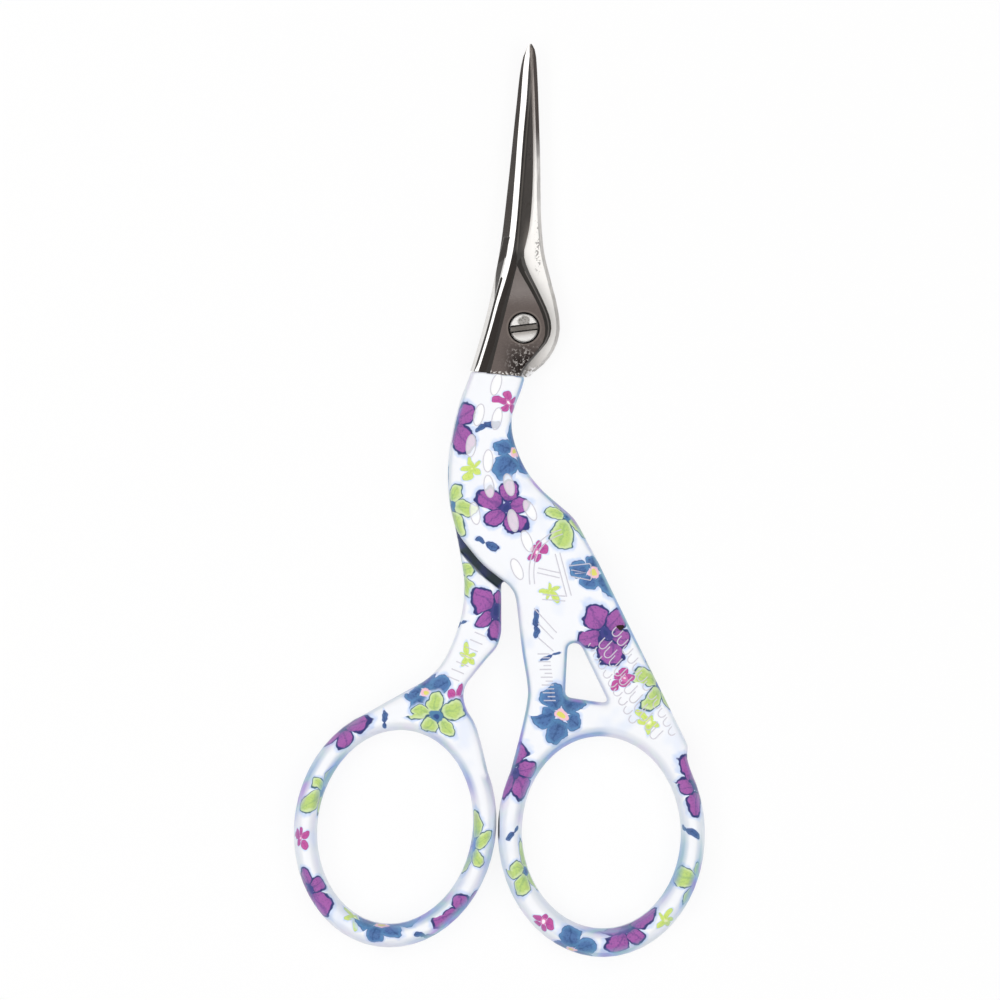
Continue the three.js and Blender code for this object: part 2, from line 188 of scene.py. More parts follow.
# Mesh handling
def pick(obj):
    bpy.ops.object.select_all(action="DESELECT")
    obj.select_set(True)
    bpy.context.view_layer.objects.active = obj


def applyModifier(obj, kind, **settings):
    modifier = obj.modifiers.new(kind.lower(), kind)
    for name, value in settings.items():
        setattr(modifier, name, value)
    pick(obj)
    bpy.ops.object.modifier_apply(modifier=modifier.name)


def mergeDoubles(obj, reach):
    pick(obj)
    bpy.ops.object.mode_set(mode="EDIT")
    bpy.ops.mesh.select_all(action="SELECT")
    bpy.ops.mesh.remove_doubles(threshold=reach)
    bpy.ops.mesh.normals_make_consistent(inside=False)
    bpy.ops.object.mode_set(mode="OBJECT")


def clearSelection(obj, kind):
    # nothing picked, and ready to pick parts of this kind
    pick(obj)
    bpy.ops.object.mode_set(mode="EDIT")
    bpy.ops.mesh.select_mode(type=kind)
    bpy.ops.mesh.select_all(action="DESELECT")
    bpy.ops.object.mode_set(mode="OBJECT")


def copyNode(nodeName, pieceName):
    made = bpy.data.objects.new(pieceName, nodes[nodeName].data.copy())
    bpy.context.scene.collection.objects.link(made)
    made.data.materials.clear()
    pick(made)
    bpy.ops.mesh.customdata_custom_splitnormals_clear()
    mergeDoubles(made, weld)
    return made


def smoothByAngle(obj, degrees):
    pick(obj)
    bpy.ops.object.shade_smooth_by_angle(angle=math.radians(degrees))


def remesh(obj, grain, softening):
    applyModifier(obj, "REMESH", mode="VOXEL", voxel_size=grain * mm)
    applyModifier(obj, "SMOOTH", factor=0.5, iterations=softening)


def standFor(piece, nodeName, body):
    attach(piece, body)
    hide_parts(nodeName)
    print("piece", piece.name, "has", len(piece.data.polygons), "faces")


# Carving of the castings: cutters that bite into the flat top, and the mark that each kind leaves
carving = {
    "top": 4.2,  # mm, the face that is carved
    "line": {"radius": 0.085, "depth": 0.055, "rounding": 2, "mark": 1},
    "scoop": {"depth": 0.12, "toolShare": 4, "segments": 36, "rings": 24, "mark": 2},
    "shares": (0.0, 1.0, 0.5),  # by mark: the skin, engraved lines, scoops
    "creaseAngle": 32,  # degrees, past which an edge stays crisp
}


def bend(start, middle, end, steps=12):
    corners = (start, middle, end)
    points = []
    for i in range(steps + 1):
        t = i / steps
        weights = ((1 - t) ** 2, 2 * t * (1 - t), t ** 2)
        x, y = [sum(w * corner[axis] for w, corner in zip(weights, corners)) for axis in (0, 1)]
        points.append((x, y))
    return points


def oval(x, y, lean, width, length, steps=28):
    turn = math.radians(lean)
    points = []
    for i in range(steps + 1):
        angle = 2 * math.pi * i / steps
        across, along = width / 2 * math.cos(angle), length / 2 * math.sin(angle)
        points.append((x + across * math.cos(turn) + along * math.sin(turn),
                       y - across * math.sin(turn) + along * math.cos(turn)))
    return points


def beside(points, reach):
    # the same stroke, moved sideways
    moved = []
    for i, (x, y) in enumerate(points):
        before, after = points[max(i - 1, 0)], points[min(i + 1, len(points) - 1)]
        run = Vector((after[0] - before[0], after[1] - before[1])).normalized()
        moved.append((x - run.y * reach, y + run.x * reach))
    return moved


def strokeCutter(strokes):
    # a round-nosed tool dragged along each stroke
    tool = carving["line"]
    curve = bpy.data.curves.new("tool", "CURVE")
    curve.dimensions = "3D"
    curve.bevel_depth = tool["radius"] * mm
    curve.bevel_resolution = tool["rounding"]
    curve.use_fill_caps = True
    height = carving["top"] + tool["radius"] - tool["depth"]
    for points in strokes:
        spline = curve.splines.new("POLY")
        spline.points.add(len(points) - 1)
        for point, (x, y) in zip(spline.points, points):
            point.co = (x * mm, y * mm, height * mm, 1)
    cutter = bpy.data.objects.new("tool", curve)
    bpy.context.scene.collection.objects.link(cutter)
    pick(cutter)
    bpy.ops.object.convert(target="MESH")
    mergeDoubles(cutter, fineWeld)
    return cutter


def scoopCutter(ovals, width, length):
    # egg-shaped tools, each sunk so that its rim on the top face has the given width and length
    scoop = carving["scoop"]
    depth = scoop["depth"]
    height = scoop["toolShare"] * depth
    rim = math.sqrt(1 - (1 - depth / height) ** 2)
    bpy.ops.object.select_all(action="DESELECT")
    tools = []
    for x, y, lean in ovals:
        bpy.ops.mesh.primitive_uv_sphere_add(
            segments=scoop["segments"], ring_count=scoop["rings"], radius=1,
            location=(x * mm, y * mm, (carving["top"] + height - depth) * mm),
            rotation=(0, 0, -math.radians(lean)),
        )
        tool = bpy.context.object
        tool.scale = (width / 2 / rim * mm, length / 2 / rim * mm, height * mm)
        tools.append(tool)
    for tool in tools:
        tool.select_set(True)
    bpy.ops.object.join()
    bpy.ops.object.transform_apply(location=True, rotation=True, scale=True)
    return bpy.context.object


def carve(obj, cutter, kind):
    # the cut faces keep the tool's slot number, from which their mark is read later
    cutter.data.materials.clear()
    for mesh in (obj.data, cutter.data):
        while len(mesh.materials) < len(carving["shares"]):
            mesh.materials.append(None)
    for polygon in cutter.data.polygons:
        polygon.material_index = carving[kind]["mark"]
    applyModifier(obj, "BOOLEAN", object=cutter, operation="DIFFERENCE", solver="MANIFOLD")
    bpy.data.objects.remove(cutter)


def keepMarks(obj):
    # what share of the carver's mark each face has
    marks = obj.data.attributes.new("carved", "FLOAT", "FACE")
    for polygon in obj.data.polygons:
        marks.data[polygon.index].value = carving["shares"][polygon.material_index]
        polygon.material_index = 0
    obj.data.materials.clear()


# Front handle: feathers on neck and body, a folded wing, rungs on the leg and hoops down the tail
frontCarving = {
    "grain": 0.2,  # mm, size of the casting's skin faces
    "softening": 12,
    "feathers": [  # place and lean
        (-3.5, -7.1, 16), (-5.66, -10.93, 14), (-3.4, -11.4, 12), (-6.66, -14.8, 5),
        (-4.52, -16.7, 2), (-4.4, -19.9, -8), (-1.89, -19.7, -14), (-6.16, -23.3, -10),
        (0.75, -22.9, -28), (-1.38, -24.2, -12), (0.38, -26.8, -20), (-0.88, -30.3, -24),
    ],
    "featherSize": (1.2, 2.8),
    "ribs": [
        bend((4.8, -25.6), (0.3, -26.9), (1.04, -32.2)),
        [(1.7, -30.45), (4.55, -31.1)],
        [(4.2, -28.3), (5.65, -33.7)],
        [(2.3, -33.8), (5.2, -34.0)],
    ],
    "ribWidth": 0.6,
    "wingLines": [
        [(5.6, -29.9), (8.2, -29.6), (8.4, -29.8), (8.45, -31.5), (8.3, -31.7), (5.9, -31.2)],
        [(5.9, -30.4), (7.8, -30.75), (6.4, -30.85)],
        [(1.26, -35.2), (4.1, -38.3)],
        [(1.76, -37.1), (3.7, -39.1)],
        [(1.8, -38.9), (3.7, -40.6)],
    ],
    "rungStart": (1.7, -40.95),
    "rungStep": (0.065, -0.4875),
    "rungs": 13,
    "rungWidths": (1.5, 0.95),  # of a long and a short one
    "hoop": {"width": 0.92, "shoulder": 0.55, "bow": 0.85, "shortArm": 0.8, "steps": 4},
    "hoopLean": (0.69, 0.72),  # the way the arms of a hoop point
    "hoopStep": (0.64, -1.13),  # from one hoop to the next down the tail
    "hoopRows": (-8, 4),
    "hoopColumns": [((16.34, -47.66), 1.3), ((14.68, -49.23), 1.7), ((13.3, -49.5), 0.95)],  # and length
    "hoopMargin": (0.7, 0.35),  # mm from an edge, and a share of the hoop's length
    "tailEdges": [  # two points of each edge, and the side that the tail is on
        ((9.55, -29.2), (20.9, -51.5), -1),
        ((6.9, -39.6), (10.8, -47.4), 1),
    ],
    "ringCrest": {"centre": (9.74, -63.45), "reach": (11.2, 13.6), "mean": 14},
}


def tailMargin(place):
    # distance to the nearest edge of the tail: its outer edge, the opening and the ring's crest
    margins = []
    for start, end, side in frontCarving["tailEdges"]:
        run = (Vector(end) - Vector(start)).normalized()
        off = place - Vector(start)
        margins.append(side * (run.x * off.y - run.y * off.x))
    crest = frontCarving["ringCrest"]
    off = place - Vector(crest["centre"])
    reachX, reachY = crest["reach"]
    margins.append((math.hypot(off.x / reachX, off.y / reachY) - 1) * crest["mean"])
    return min(margins)


def tailHoops():
    # hoops in staggered columns down the tail, kept clear of its edges
    hoop = frontCarving["hoop"]
    step = Vector(frontCarving["hoopStep"])
    arm = Vector(frontCarving["hoopLean"]).normalized()
    side = Vector((arm.y, -arm.x)) * hoop["width"] / 2
    shoulder = arm * hoop["width"] * hoop["shoulder"]
    bow = side * hoop["bow"]
    margin, lengthShare = frontCarving["hoopMargin"]
    hoops = []
    for start, length in frontCarving["hoopColumns"]:
        for row in range(*frontCarving["hoopRows"]):
            foot = Vector(start) + step * row
            if tailMargin(foot + arm * length / 2) < margin + length * lengthShare:
                continue
            left = bend(foot + shoulder - side, foot - bow, foot, hoop["steps"])
            right = bend(foot, foot + bow, foot + shoulder + side, hoop["steps"])
            shortEnd = foot + arm * length * hoop["shortArm"] - side
            hoops.append([shortEnd, *left, *right[1:], foot + arm * length + side])
    return hoops


def legRungs():
    # long and short rungs take turns, with their right ends on one line
    startX, startY = frontCarving["rungStart"]
    stepX, stepY = frontCarving["rungStep"]
    widths = frontCarving["rungWidths"]
    rungs = []
    for i in range(frontCarving["rungs"]):
        end, y = startX + widths[0] + stepX * i, startY + stepY * i
        rungs.append([(end - widths[i % 2], y), (end, y)])
    return rungs


def makeFrontHandle():
    made = copyNode("front_handle", "frontCasting")
    remesh(made, frontCarving["grain"], frontCarving["softening"])
    feathers, size = frontCarving["feathers"], frontCarving["featherSize"]
    carve(made, scoopCutter(feathers, *size), "scoop")
    carve(made, strokeCutter([oval(*feather, *size) for feather in feathers]), "line")
    half = frontCarving["ribWidth"] / 2
    for side in (-half, half):
        for rib in frontCarving["ribs"]:
            carve(made, strokeCutter([beside(rib, side)]), "line")
    carve(made, strokeCutter(frontCarving["wingLines"]), "line")
    carve(made, strokeCutter(legRungs() + tailHoops()), "line")
    keepMarks(made)
    smoothByAngle(made, carving["creaseAngle"])
    standFor(made, "front_handle", "front_half")
    return made


# Rear handle: slanted bars on the leg, which shows with its ring
rearCarving = {
    "grain": 0.2,
    "softening": 12,
    "barStart": ((-6.2, -38.2), (-4.65, -38.85)),
    "barStep": (-0.58, -0.92),
    "bars": 7,
}


def makeRearHandle():
    made = copyNode("rear_handle", "rearCasting")
    remesh(made, rearCarving["grain"], rearCarving["softening"])
    stepX, stepY = rearCarving["barStep"]
    bars = []
    for i in range(rearCarving["bars"]):
        bars.append([(x + stepX * i, y + stepY * i) for x, y in rearCarving["barStart"]])
    carve(made, strokeCutter(bars), "line")
    keepMarks(made)
    smoothByAngle(made, carving["creaseAngle"])
    standFor(made, "rear_handle", "rear_half")
    return made


frontHandle = makeFrontHandle()
rearHandle = makeRearHandle()

# Blades: the CAD facets, each kind with its own finish, and two fine lines ground along the shank; several
# finishes and both lines are painted reflection, shade or highlight
grinding = {
    "finishes": ["polished", "ground", "dull", "flat", "recess", "chamfer", "worn"],
    "facetAngle": 4,  # degrees, past which an edge stays crisp
    "flatReach": 8.0,  # mm, where the flat round the screw comes to its point
    "recessRadius": 2.02,
    "flatHeight": 3.97,
    "chamferReach": 1.05,  # mm from the middle, past which a tilted inner facet is the chamfer
    "holeWallRise": 0.5,  # rises are the forward part of a facet's normal, leans its part to the right
    "innerRise": -0.4,
    "flatRise": 0.985,
    "chamferLean": -0.12,
    "dullLean": 0.3,
    "stripLine": {"x": -2.83, "slope": 0.25},  # the flat begins to the right of this line
    "darkLine": {
        "width": 0.2, "finish": "dull", "from": -8.0, "to": 6.0,
        "steepLean": -0.66, "steepRise": 0.2, "mildLeans": (-0.45, -0.3),
    },
    "lightLine": {
        "width": 0.075, "finish": "worn", "from": -2.6, "to": 7.3,
        "steepLean": 0.4, "steepRise": 0.3, "mildLean": 0.25, "leanDrop": 0.1,
    },
}


def facetFinish(polygon, facing):
    # facing is 1 on the front half and -1 on the rear half, which lies turned over
    place = polygon.center / mm
    lean = polygon.normal.x * facing
    rise = polygon.normal.z * facing
    isInHole = math.hypot(place.x, place.y) < grinding["recessRadius"]
    isWall = abs(rise) < grinding["holeWallRise"]
    isSunk = facing > 0 and rise > 0 and place.z < grinding["flatHeight"]
    if isInHole and (isWall or isSunk):
        return "recess"
    if rise < grinding["innerRise"]:
        isOuter = -place.x * facing > grinding["chamferReach"]
        return "chamfer" if isOuter and lean < grinding["chamferLean"] else "ground"
    if rise > grinding["flatRise"] and place.y < grinding["flatReach"]:
        return "flat"
    return "dull" if lean > grinding["dullLean"] else "polished"


def edgesWithFaces(mesh):
    faces = {}
    for polygon in mesh.polygons:
        for key in polygon.edge_keys:
            faces.setdefault(key, []).append(polygon.normal.copy())
    return [(edge, faces[tuple(sorted(edge.vertices))]) for edge in mesh.edges]


def isDarkEdge(steep, mild, facing):
    # between the wall of the shank and the facet beside it
    line = grinding["darkLine"]
    low, high = line["mildLeans"]
    isSteep = steep.x * facing < line["steepLean"] and steep.z * facing > line["steepRise"]
    return isSteep and low < mild.x * facing < high


def isLightEdge(steep, mild, facing):
    # between the two right-hand facets of the shank
    line = grinding["lightLine"]
    isSteep = steep.x * facing > line["steepLean"] and steep.z * facing > line["steepRise"]
    return isSteep and line["mildLean"] < mild.x * facing < steep.x * facing - line["leanDrop"]


def grindLine(obj, line, isWanted, facing):
    # breaks the wanted edges into a narrow facet of its own finish
    clearSelection(obj, "EDGE")
    vertices = obj.data.vertices
    for edge, normals in edgesWithFaces(obj.data):
        middle = sum(vertices[i].co.y for i in edge.vertices) / 2 / mm
        inReach = line["from"] < middle < line["to"]
        steepFirst = sorted(normals, key=lambda normal: abs(normal.z))
        edge.select = inReach and len(normals) == 2 and isWanted(*steepFirst, facing)
    bpy.ops.object.mode_set(mode="EDIT")
    bpy.ops.mesh.bevel(
        offset=line["width"] * mm, offset_type="OFFSET", segments=1, affect="EDGES",
        material=grinding["finishes"].index(line["finish"]),
    )
    bpy.ops.object.mode_set(mode="OBJECT")


def grindStrip(obj):
    # the dark strip beside the flat takes in the flat's left margin
    flat, dull = [grinding["finishes"].index(name) for name in ("flat", "dull")]
    line = grinding["stripLine"]
    clearSelection(obj, "FACE")
    for polygon in obj.data.polygons:
        polygon.select = polygon.material_index == flat
    bpy.ops.object.mode_set(mode="EDIT")
    across = (1, -line["slope"], 0)
    bpy.ops.mesh.bisect(plane_co=(line["x"] * mm, 0, 0), plane_no=across, threshold=fineWeld)
    bpy.ops.object.mode_set(mode="OBJECT")
    for polygon in obj.data.polygons:
        place = polygon.center / mm
        if polygon.material_index == flat and place.x < line["x"] + line["slope"] * place.y:
            polygon.material_index = dull


def grindBlade(nodeName, pieceName, body, facing):
    made = copyNode(nodeName, pieceName)
    for _ in grinding["finishes"]:
        made.data.materials.append(None)
    for polygon in made.data.polygons:
        polygon.material_index = grinding["finishes"].index(facetFinish(polygon, facing))
    if facing > 0:
        grindStrip(made)
    grindLine(made, grinding["darkLine"], isDarkEdge, facing)
    grindLine(made, grinding["lightLine"], isLightEdge, facing)
    smoothByAngle(made, grinding["facetAngle"])
    standFor(made, nodeName, body)
    return made


frontBlade = grindBlade("front_blade", "frontSteel", "front_half", 1)
rearBlade = grindBlade("rear_blade", "rearSteel", "rear_half", -1)

# Screw: a head with worn edges, and a slot in two darker finishes that are painted shade
screwShape = {
    "finishes": ["nickel", "recess", "slot"],
    "grain": 0.055,
    "softening": 4,
    "slotAngle": 7,  # degrees
    "slotReach": 0.47,  # mm, half its width
    "slotFlat": 0.28,  # mm, half the width of its paler floor
    "headShare": 0.95,  # the head is worn back to this share of its width
    "headBase": 3.3,
    "slotTop": 3.98,
    "slotFloor": 3.4,
    "creaseAngle": 40,  # degrees
}


def makeScrew():
    made = copyNode("pivot_screw", "eyeScrew")
    remesh(made, screwShape["grain"], screwShape["softening"])
    clearSelection(made, "VERT")
    for vertex in made.data.vertices:
        vertex.select = vertex.co.z / mm > screwShape["headBase"]
    bpy.ops.object.mode_set(mode="EDIT")
    share = screwShape["headShare"]
    bpy.ops.transform.resize(value=(share, share, 1), center_override=(0, 0, 0))
    bpy.ops.object.mode_set(mode="OBJECT")
    turn = math.radians(screwShape["slotAngle"])
    for polygon in made.data.polygons:
        place = polygon.center / mm
        across = abs(place.y * math.cos(turn) - place.x * math.sin(turn))
        isLow = screwShape["slotFloor"] < place.z < screwShape["slotTop"]
        reached = [across < screwShape[name] for name in ("slotReach", "slotFlat")]
        polygon.material_index = sum(reached) if isLow else 0
    smoothByAngle(made, screwShape["creaseAngle"])
    standFor(made, "pivot_screw", "rear_half")
    return made


screw = makeScrew()
print("shapes made")

# Printed lacquer: noise is its scale, detail and roughness, limits are where a mark begins and is full
lacquer = {
    "ground": "f5f7fb",
    "overlap": 7.0,  # mm, how far a flower may reach into the next sheet
    "chip": {"noise": (2.2, 2), "ragged": 1.6, "soft": 0.8, "colour": "2b1d1a"},
    "hand": [(0.22, 2.2), (0.9, 0.7)],  # the sheet is pulled about: noise scale and reach in mm
    "wobble": {"noise": (1.3, 1), "reach": 0.3},
    "mottle": {"noise": (3.6, 3, 0.6), "limits": (0.42, 0.75), "share": 0.8},
    "clouds": {"noise": (0.17, 2), "limits": (0.52, 0.72), "share": 0.3, "colour": "c3d6f8"},
    "runOut": {"lean": (0.6, 0.2), "fromSeam": (0.9, 0.3)},
    "patches": {"noise": (0.075, 1), "limits": (0.47, 0.6), "share": 0.7, "least": 0.2},
    "smear": {"noise": (0.24, 1), "start": 0.3, "step": 0.13, "lean": (0.97, 0.6)},
    # edge tints: print smear, and painted shade on the steep sides
    "edges": ["8f80d8", "86a8e2", "8abccb", "aa8adb"],
    "carved": [
        {"limits": (0.0, 0.5), "share": 0.62, "colour": "ffffff"},
        # engraved lines: grey, painted shade in the grooves
        {"limits": (0.5, 1.0), "share": 0.75, "colour": "c6c2cf"},
    ],
    "gloss": {"noise": (0.8, 3), "spread": 0.12, "roughness": 0.38, "coat": 0.2, "coatRoughness": 0.25},
    "peel": {"noise": (1.6, 2), "strength": 0.06, "depth": 0.05},
    # painted shadow where the two rings touch
    "contactShadow": {"x": (-3.02, -3.1), "y": -62.4, "reach": (2.2, 1.4), "share": 0.9, "colour": "343842"},
    "drawing": {
        "petals": 5,
        "petalOrder": 2.1,
        "petalSpread": 0.2,  # petals of one flower differ in size by this share
        "halo": {"limits": (1.4, 1.0), "share": 0.8, "colour": "c3d6f8"},
        "vein": {"limits": (0.14, 0.02), "share": 0.5},
        "foot": {"limits": (0.1, -1.0), "share": 0.6},
        "paleStart": 0.5,
        "lineWidth": 0.1,
        "edge": (1.03, 0.95),
        "heartRagged": 2.0,
        "ringLimits": (1.7, 1.4),
        "heartSoft": 0.75,
    },
    "motifs": {  # tones: of the petals, their darks, outline, pale margin, heart and its ring
        "plum": {
            "length": 0.43, "width": 0.38, "reach": 0.56, "gap": 0.0, "outline": 0.74, "heart": 0.14,
            "tones": ["a75aab", "7b4893", "2c3576", "c79ad2", "2d3a7c", "3d3f86"],
        },
        "lime": {
            "length": 0.44, "width": 0.3, "reach": 0.55, "gap": 0.55, "outline": 0.82, "heart": 0.13,
            "tones": ["bfd97a", "a0c476", "2c5f78", "e4f0c6", "2a4c8c", "4d7fa8"],
        },
        "blue": {
            "length": 0.4, "width": 0.4, "reach": 0.58, "gap": 0.35, "outline": 0.88, "heart": 0.14,
            "tones": ["4c74ac", "31548a", "36598f", "6fb0dc", "e2dc6a", "f4c3d2"],
        },
        "sprig": {
            "length": 0.36, "width": 0.34, "reach": 0.6, "gap": 0.2, "outline": 0.8, "heart": 0.2,
            "tones": ["c44f9f", "ab3c92", "b02a86", "dc7fbb", "fbf3fa", "d873b4"],
        },
        "star": {
            "length": 0.48, "width": 0.24, "reach": 0.5, "gap": 0.2, "outline": 0.86, "heart": 0.14,
            "tones": ["d4e874", "bfdc60", "b4d340", "eef5b8", "fafbe8", "e4efa0"],
        },
        "leaf": {
            "length": 0.5, "width": 0.24, "reach": 0.5, "gap": 0.2, "outline": 0.78, "heart": 0.07,
            "tones": ["456aa2", "2c4680", "2b3f78", "6f95c8", "33508c", "33508c"], "petals": 2,
        },
    },
}


def warped(place, scale, reach):
    # drawn by hand: the sheet is pulled about a little
    pull = place.node("TexNoise", {}, {"Vector": place, "Scale": scale, "Detail": 1.0}, output="Color")
    pull = scaled(vectorMath("SUBTRACT", pull, (0.5, 0.5, 0.5)), reach)
    return vectorMath("ADD", place, pull)


def drawMotif(ground, sheet, kind, x, y, radius, turn):
    # petals are ovals round a heart, unlike in size, with a drawn outline, a vein and a watery fringe
    motif, drawing = lacquer["motifs"][kind], lacquer["drawing"]
    petalTone, darkTone, lineTone, paleTone, heartTone, ringTone = motif["tones"]
    sector = 2 * math.pi / motif.get("petals", drawing["petals"])
    offset = vectorMath("SUBTRACT", sheet["place"], (x, y, 0))
    radial = lengthOf(offset) * (1 / radius)
    dx, dy, _ = split(offset)
    turned = dy.calc("ARCTAN2", dy, dx) * (1 / sector) + turn
    number = turned.calc("FLOOR", turned)
    folded = (turned - number - 0.5) * sector
    size = number.calc("SINE", number * drawing["petalOrder"] + x) * drawing["petalSpread"] + 1.0
    grown = radial / size
    petalAlong = (grown * folded.calc("COSINE", folded) - motif["reach"]) * (1 / motif["length"])
    petalAcross = grown * folded.calc("SINE", folded) * (1 / motif["width"])
    petal = petalAlong.node("CombineXYZ", {}, {0: petalAlong, 1: petalAcross})
    depth = lengthOf(petal) + sheet["wobble"]
    halo, vein, foot = drawing["halo"], drawing["vein"], drawing["foot"]
    ground = marked(ground, ease(depth, *halo["limits"]), halo)
    veined = ease(absolute(petalAcross), *vein["limits"]) * vein["share"]
    shade = sheet["mottle"] + veined + ease(petalAlong, *foot["limits"]) * foot["share"]
    colour = blendColour(ease(shade, 0.0, 1.0), tint(petalTone), tint(darkTone))
    outline = motif["outline"]
    colour = dab(colour, ease(depth, drawing["paleStart"], outline) * motif["gap"], paleTone)
    colour = dab(colour, ease(depth, outline, outline + drawing["lineWidth"]), lineTone)
    ground = blendColour(ease(depth, *drawing["edge"]), ground, colour)
    heart = motif["heart"]
    ragged = radial + sheet["wobble"] * heart * drawing["heartRagged"]
    ring = [limit * heart for limit in drawing["ringLimits"]]
    ground = dab(ground, ease(ragged, *ring), ringTone)
    return dab(ground, ease(ragged, heart, heart * drawing["heartSoft"]), heartTone)


def laidSheet(wire, place, backShift):
    # the print of either face wraps over its edges and runs out half way down the wall
    normal = wire.node("NewGeometry", {}, {}, output="Normal")
    turning = {"vector_type": "NORMAL", "convert_from": "WORLD", "convert_to": "OBJECT"}
    outward = normal.node("VectorTransform", turning, {0: normal})
    middle = carving["top"] / 2
    rise = split(place)[2] - middle
    fromSeam = absolute(rise)
    laid = vectorMath("ADD", place, scaled(outward, middle - fromSeam))
    back = vectorMath("ADD", laid, backShift)
    printed = laid.node("Mix", {"data_type": "VECTOR"}, {0: rise < 0.0, 4: laid, 5: back}, output=1)
    return vectorMath("MULTIPLY", printed, (1, 1, 0)), absolute(split(normal)[2]), fromSeam


def smearAndShadeEdges(place, lying, colour):
    # over rounded edges the print blurs into patches of colour, lilac and blue that are also painted shade
    # on the steep sides
    patches, smear = lacquer["patches"], lacquer["smear"]
    share = speckle(place, patches) * patches["share"] + patches["least"]
    stops = [(smear["start"] + smear["step"] * i, tint(code)) for i, code in enumerate(lacquer["edges"])]
    blur = place.node("ValToRGB", {"stops": stops}, {0: noise(place, *smear["noise"])})
    return blendColour(ease(lying, *smear["lean"]) * share, colour, blur)


def paintMaterial(name, layout, backShift):
    material, wire, shader = newMaterial(name)
    place = placeInMm(wire)
    flat, lying, fromSeam = laidSheet(wire, place, backShift)
    drawn = flat
    for scale, reach in lacquer["hand"]:
        drawn = warped(drawn, scale, reach)
    wobble, mottle, runOut = lacquer["wobble"], lacquer["mottle"], lacquer["runOut"]
    sheet = {
        "place": drawn,
        "wobble": ripple(flat, wobble["noise"], wobble["reach"]),
        "mottle": speckle(flat, mottle) * mottle["share"],
    }
    ground = tint(lacquer["ground"])
    colour = marked(ground, speckle(flat, lacquer["clouds"]), lacquer["clouds"])
    for motif in layout:
        colour = drawMotif(colour, sheet, *motif)
    ended = ease(lying, *runOut["lean"]) * ease(fromSeam, *runOut["fromSeam"])
    colour = smearAndShadeEdges(place, lying, blendColour(ended, colour, ground))
    # whatever is carved below the skin takes less of the print, and the engraved lines are tinted grey as
    # painted shade in the grooves
    carved = wire.node("Attribute", {"attribute_name": "carved"}, {}, output="Fac")
    for mark in lacquer["carved"]:
        colour = marked(colour, ease(carved, *mark["limits"]), mark)
    return material, shader, place, colour


def finishPaint(material, shader, place, colour):
    gloss, peel = lacquer["gloss"], lacquer["peel"]
    plug(shader, "Base Color", colour)
    plug(shader, "Roughness", noise(place, *gloss["noise"]) * gloss["spread"] + gloss["roughness"])
    shader.inputs["Coat Weight"].default_value = gloss["coat"]
    shader.inputs["Coat Roughness"].default_value = gloss["coatRoughness"]
    relief = {"Strength": peel["strength"], "Distance": peel["depth"] * mm}
    height = noise(place, *peel["noise"])
    plug(shader, "Normal", height.node("Bump", {}, {**relief, "Height": height}))
    return material


# Painted shade in the step beside the front body, in deep teal and navy: limits in mm across it, along it
# and in height
stepShade = {
    "start": (-8.5, -25.3),
    "across": (0.721, 0.693),
    "acrossLimits": [(-1.9, -1.5), (0.9, 0.4)],
    "alongLimits": [(-1.5, 0.5), (9.8, 8.8)],
    "heightLimits": [(4.05, 3.6), (1.6, 2.0)],
    "noise": (0.45, 2),
    "limits": (0.42, 0.6),
    "colours": ["0b2f36", "1c2f66"],
    "share": 0.96,
}


# painted shade: the step where the rear leg lies under the front body's edge is darkened
def paintedStepShade(place, colour):
    x, y, z = split(place)
    dx, dy = x - stepShade["start"][0], y - stepShade["start"][1]
    leanX, leanY = stepShade["across"]
    share = window(dx * leanX + dy * leanY, stepShade["acrossLimits"])
    share = share * window(dx * leanY - dy * leanX, stepShade["alongLimits"])
    share = share * window(z, stepShade["heightLimits"])
    stepShadeTone = blendColour(speckle(place, stepShade), *[tint(code) for code in stepShade["colours"]])
    return blendColour(share * stepShade["share"], colour, stepShadeTone)


# Where the flowers lie: kind, place in mm, size and turn. Round a ring the place is an angle and a step
# outwards. A sheet of print ends at each height given, so that no one material holds too many flowers
frontPrint = {
    "sheets": [-29.0, -49.0],
    "backShift": (1.4, -2.6, 0),
    "ring": {"centre": (9.74, -63.45), "reach": (11.5, 13.9)},
    "flat": [
        ("sprig", -2.3, -9.3, 1.6, 0.2), ("plum", -9.6, -12.2, 3.8, 0.1), ("blue", -0.8, -15.6, 3.4, 0.3),
        ("leaf", -4.8, -12.6, 1.5, 0.35), ("star", -6.7, -17.6, 1.5, 0.1), ("lime", -9.4, -22.6, 3.9, 0.6),
        ("plum", -2.2, -22.4, 3.6, 0.35), ("lime", 5.6, -23.6, 3.8, 0.0), ("leaf", -4.9, -27.2, 1.7, 0.6),
        ("sprig", 1.5, -28.4, 1.5, 0.5), ("blue", 8.9, -30.6, 3.3, 0.1), ("star", 3.4, -33.4, 1.5, 0.1),
        ("plum", 10.6, -38.2, 3.9, 0.7), ("leaf", 1.5, -37.4, 1.8, 0.0), ("lime", 17.3, -44.6, 3.9, 0.2),
        ("leaf", 3.4, -41.6, 1.3, 0.4), ("sprig", 12.4, -44.0, 1.4, 0.3), ("blue", 4.6, -48.6, 3.5, 0.9),
        ("star", 15.4, -49.6, 1.5, 0.8),
    ],
    "round": [
        ("plum", 150, 1.4, 3.8, 0.4), ("leaf", 181, -0.6, 1.6, 0.3), ("lime", 203, -1.9, 3.7, 0.1),
        ("sprig", 231, 0.9, 1.5, 0.6), ("blue", 254, 2.1, 3.5, 0.2), ("plum", 288, -1.7, 3.9, 0.1),
        ("star", 312, 0.9, 1.5, 0.5), ("lime", 336, 1.9, 3.8, 0.3), ("leaf", 2, -1.0, 1.6, 0.6),
        ("plum", 24, 1.9, 3.7, 0.8),
    ],
}
